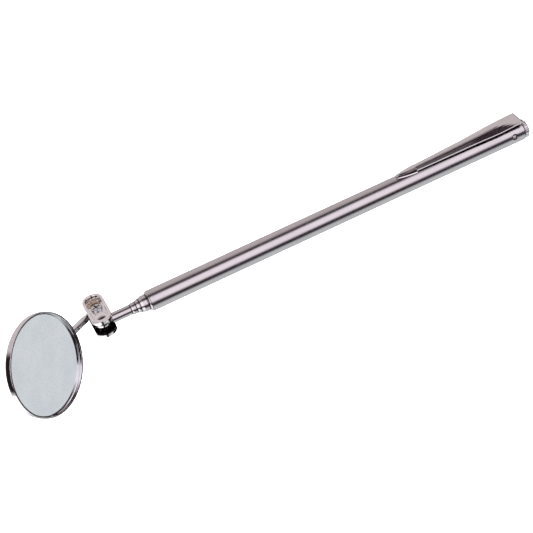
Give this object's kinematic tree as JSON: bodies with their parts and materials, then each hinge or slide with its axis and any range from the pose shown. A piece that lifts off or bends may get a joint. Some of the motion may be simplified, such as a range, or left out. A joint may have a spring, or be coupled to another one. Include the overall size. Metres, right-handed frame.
{
  "type": "telescoping inspection mirror",
  "caption": "Pocket telescoping inspection mirror: a drawn steel barrel with a clip, nested sliding sections, a two-ball friction clamp and a small round mirror in a pressed cup.",
  "frame": {"origin": "centre of the cap's flat end face, on the handle's axis", "axes": "+X runs out of the cap along the handle's axis, so the mirror lies at -X; +Z is the normal of the clamp plates, with the pocket clip near the +Z side of the barrel"},
  "size_m": [0.1873, 0.0387, 0.0318],
  "materials": {
    "satin_steel": "satin, brushed round the tube",
    "chrome_plate": "bright plated",
    "clip_steel": "bright plated spring steel",
    "bush_brass": "turned",
    "zinc_steel": "zinc plated",
    "backing_card": "matt",
    "mirror_face": "silvered glass"
  },
  "bodies": {
    "barrel": {"outer_tube": "satin_steel", "end_cap": "chrome_plate"},
    "clip": {"pocket_clip": "clip_steel"},
    "section_2": {"section_2_tube": "satin_steel", "section_2_bush": "bush_brass"},
    "section_3": {"section_3_tube": "satin_steel", "section_3_bush": "bush_brass"},
    "section_4": {"section_4_tube": "satin_steel", "section_4_bush": "bush_brass"},
    "section_5": {"section_5_tube": "satin_steel", "section_5_bush": "bush_brass", "rod_spigot": "chrome_plate"},
    "rod_knuckle": {"rod_ball": "chrome_plate"},
    "clamp": {"front_clamp_plate": "chrome_plate", "rear_clamp_plate": "chrome_plate", "clamp_screw": "zinc_steel", "lock_washer": "zinc_steel", "clamp_nut": "zinc_steel"},
    "mirror_knuckle": {"mirror_ball": "chrome_plate"},
    "mirror": {"mirror_stem": "chrome_plate", "mirror_cup": "chrome_plate", "backing_pad": "backing_card", "mirror_glass": "mirror_face"}
  },
  "joints": [
    {"name": "clip_flex", "type": "hinge", "parent": "barrel", "child": "clip", "pos_m": [-0.00233, -0.00025, 0.00289], "axis": [0, 0.9962, 0.0872], "range_deg": [0, 2.5], "stiffness_Nm_per_rad": 1.5},
    {"name": "section_2_slide", "type": "slide", "parent": "barrel", "child": "section_2", "axis": [-1, 0, 0], "range_m": [0, 0.1215]},
    {"name": "section_3_slide", "type": "slide", "parent": "section_2", "child": "section_3", "axis": [-1, 0, 0], "range_m": [0, 0.1145]},
    {"name": "section_4_slide", "type": "slide", "parent": "section_3", "child": "section_4", "axis": [-1, 0, 0], "range_m": [0, 0.1065]},
    {"name": "section_5_slide", "type": "slide", "parent": "section_4", "child": "section_5", "axis": [-1, 0, 0], "range_m": [0, 0.099]},
    {"name": "head_roll", "type": "hinge", "parent": "section_5", "child": "rod_knuckle", "pos_m": [-0.1531, 0, 0], "axis": [1, 0, 0], "continuous": true},
    {"name": "clamp_swing", "type": "hinge", "parent": "rod_knuckle", "child": "clamp", "pos_m": [-0.1531, 0, 0], "axis": [0, 0, 1], "range_deg": [-18, 95]},
    {"name": "mirror_swing", "type": "hinge", "parent": "clamp", "child": "mirror_knuckle", "pos_m": [-0.1531, 0.008, 0], "axis": [0, 0, 1], "range_deg": [-180, 3]},
    {"name": "mirror_roll", "type": "hinge", "parent": "mirror_knuckle", "child": "mirror", "pos_m": [-0.1531, 0.008, 0], "axis": [-0.7427, -0.6502, 0.1599], "continuous": true}
  ]
}
